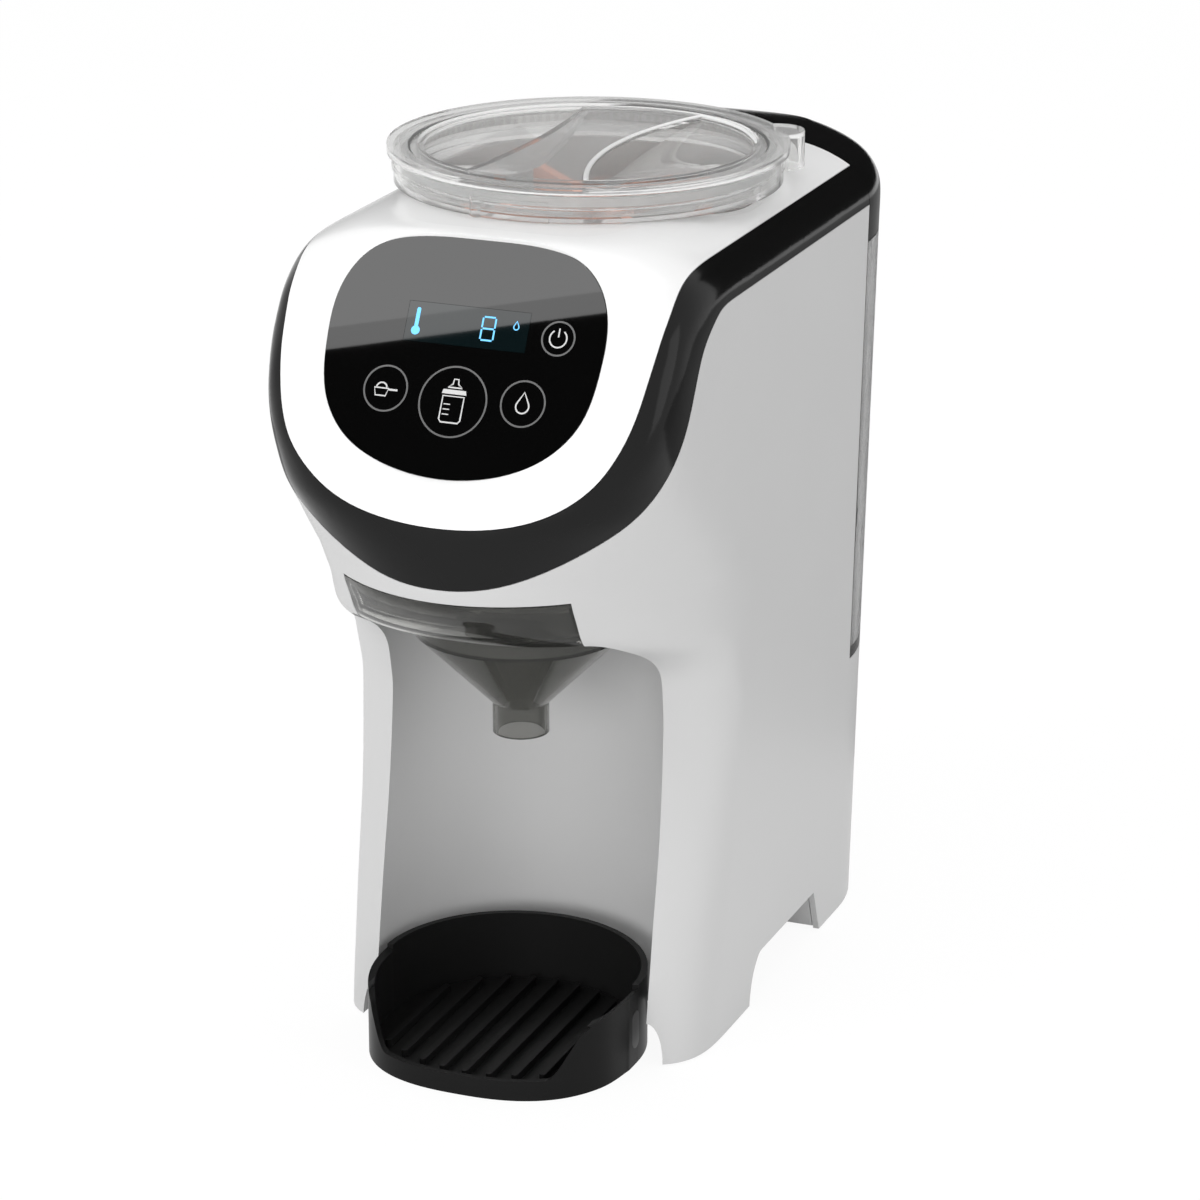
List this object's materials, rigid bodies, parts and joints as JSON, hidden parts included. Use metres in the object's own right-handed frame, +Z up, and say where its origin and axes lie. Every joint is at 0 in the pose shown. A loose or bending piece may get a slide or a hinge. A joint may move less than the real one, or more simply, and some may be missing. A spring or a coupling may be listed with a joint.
{
  "type": "baby formula maker",
  "caption": "Countertop machine that mixes milk powder with warm water and fills a feeding bottle, with lift-off powder container and water tank, funnel drawer and drip tray",
  "frame": {"origin": "on the ground under the middle of the bounding box", "axes": "+Z up; -Y is the front with the control panel; +X is to the right when the front is looked at"},
  "size_m": [0.166, 0.3222, 0.3415],
  "materials": {
    "body_grey": "satin light grey moulded plastic",
    "cover_white": "white moulded plastic with a soft gloss",
    "trim_black": "black plastic, high gloss",
    "panel_black": "black panel, mirror gloss",
    "tray_black": "black plastic, satin",
    "smoke_dark": "smoke grey see-through plastic, gloss",
    "smoke_tank": "smoke grey see-through plastic, gloss",
    "clear": "clear plastic, polished",
    "seal_clear": "translucent silicone",
    "wheel_peach": "peach plastic with a soft gloss",
    "inner_white": "light grey plastic, matt",
    "gear_white": "white acetal, satin",
    "ring_light": "pale translucent light guide",
    "board_dark": "dark moulded plastic, matt",
    "board_green": "green lacquered circuit board",
    "rubber_dark": "black rubber, matt",
    "hose_clear": "translucent silicone hose",
    "steel": "bright steel",
    "aluminium": "cast aluminium, matt",
    "brass": "plain brass",
    "bush_bronze": "sintered bronze, plain"
  },
  "bodies": {
    "housing": {"main_housing": "body_grey", "trim_band": "trim_black", "top_cover": "cover_white", "base_plate": "body_grey", "rubber_feet": "rubber_dark", "base_screws": "steel", "control_panel": "panel_black", "display_window": "panel_black", "display_module": "board_dark", "control_board": "board_green", "key_switches": "board_dark", "key_rings": "ring_light", "powder_well": "inner_white", "drive_motor": "steel", "gear_case": "inner_white", "shaft_bushes": "bush_bronze", "powder_chute": "inner_white", "tank_dock": "inner_white", "dock_seal": "rubber_dark", "water_pump": "board_dark", "flow_heater": "aluminium", "suction_hose": "hose_clear", "pressure_hose": "hose_clear", "hot_hose": "hose_clear", "water_nozzle": "inner_white", "main_board": "board_green", "power_inlet": "board_dark", "inlet_pins": "brass"},
    "powder_container": {"powder_container": "clear"},
    "container_lid": {"container_lid": "clear", "lid_seal": "seal_clear"},
    "mixing_wheel": {"mixing_wheel": "wheel_peach"},
    "drive_gear": {"drive_gear": "gear_white"},
    "motor_pinion": {"motor_pinion": "brass"},
    "water_tank": {"water_tank": "smoke_tank", "valve_spring": "steel"},
    "tank_lid": {"tank_lid": "trim_black"},
    "tank_valve": {"tank_valve": "gear_white"},
    "funnel": {"funnel": "smoke_dark"},
    "drip_tray": {"drip_tray": "tray_black"},
    "start_key": {"start_key": "panel_black"},
    "amount_key": {"amount_key": "panel_black"},
    "powder_key": {"powder_key": "panel_black"},
    "power_key": {"power_key": "panel_black"}
  },
  "joints": [
    {"name": "container_lift", "type": "slide", "parent": "housing", "child": "powder_container", "axis": [0, 0, 1], "range_m": [0, 0.12]},
    {"name": "lid_lift", "type": "slide", "parent": "powder_container", "child": "container_lid", "axis": [0, 0, 1], "range_m": [0, 0.06]},
    {"name": "wheel_spin", "type": "hinge", "parent": "powder_container", "child": "mixing_wheel", "pos_m": [0, -0.0126, 0.26], "axis": [0, 0, 1], "continuous": true},
    {"name": "gear_spin", "type": "hinge", "parent": "housing", "child": "drive_gear", "pos_m": [0, -0.0126, 0.222], "axis": [0, 0, 1], "continuous": true},
    {"name": "pinion_spin", "type": "hinge", "parent": "housing", "child": "motor_pinion", "pos_m": [0, 0.0174, 0.222], "axis": [0, 0, 1], "continuous": true},
    {"name": "tank_lift", "type": "slide", "parent": "housing", "child": "water_tank", "axis": [0, 0, 1], "range_m": [0, 0.2]},
    {"name": "tank_lid_lift", "type": "slide", "parent": "water_tank", "child": "tank_lid", "axis": [0, 0, 1], "range_m": [0, 0.06]},
    {"name": "valve_lift", "type": "slide", "parent": "water_tank", "child": "tank_valve", "axis": [0, 0, 1], "range_m": [0, 0.003], "stiffness_N_per_m": 60, "springref_m": -0.002, "deforming": ["valve_spring"]},
    {"name": "funnel_slide", "type": "slide", "parent": "housing", "child": "funnel", "axis": [0, -1, 0], "range_m": [0, 0.14]},
    {"name": "tray_slide", "type": "slide", "parent": "housing", "child": "drip_tray", "axis": [0, -1, 0], "range_m": [0, 0.1]},
    {"name": "start_key_press", "type": "slide", "parent": "housing", "child": "start_key", "axis": [0, 0.8761, -0.4822], "range_m": [0, 0.0008], "stiffness_N_per_m": 600, "springref_m": -0.0005},
    {"name": "amount_key_press", "type": "slide", "parent": "housing", "child": "amount_key", "axis": [0, 0.8761, -0.4822], "range_m": [0, 0.0008], "stiffness_N_per_m": 600, "springref_m": -0.0005},
    {"name": "powder_key_press", "type": "slide", "parent": "housing", "child": "powder_key", "axis": [0, 0.8761, -0.4822], "range_m": [0, 0.0008], "stiffness_N_per_m": 600, "springref_m": -0.0005},
    {"name": "power_key_press", "type": "slide", "parent": "housing", "child": "power_key", "axis": [0, 0.8761, -0.4822], "range_m": [0, 0.0008], "stiffness_N_per_m": 600, "springref_m": -0.0005}
  ],
  "couplings": [
    {"joint": "pinion_spin", "follows": "gear_spin", "ratio": -3},
    {"joint": "wheel_spin", "follows": "gear_spin", "ratio": 1}
  ]
}
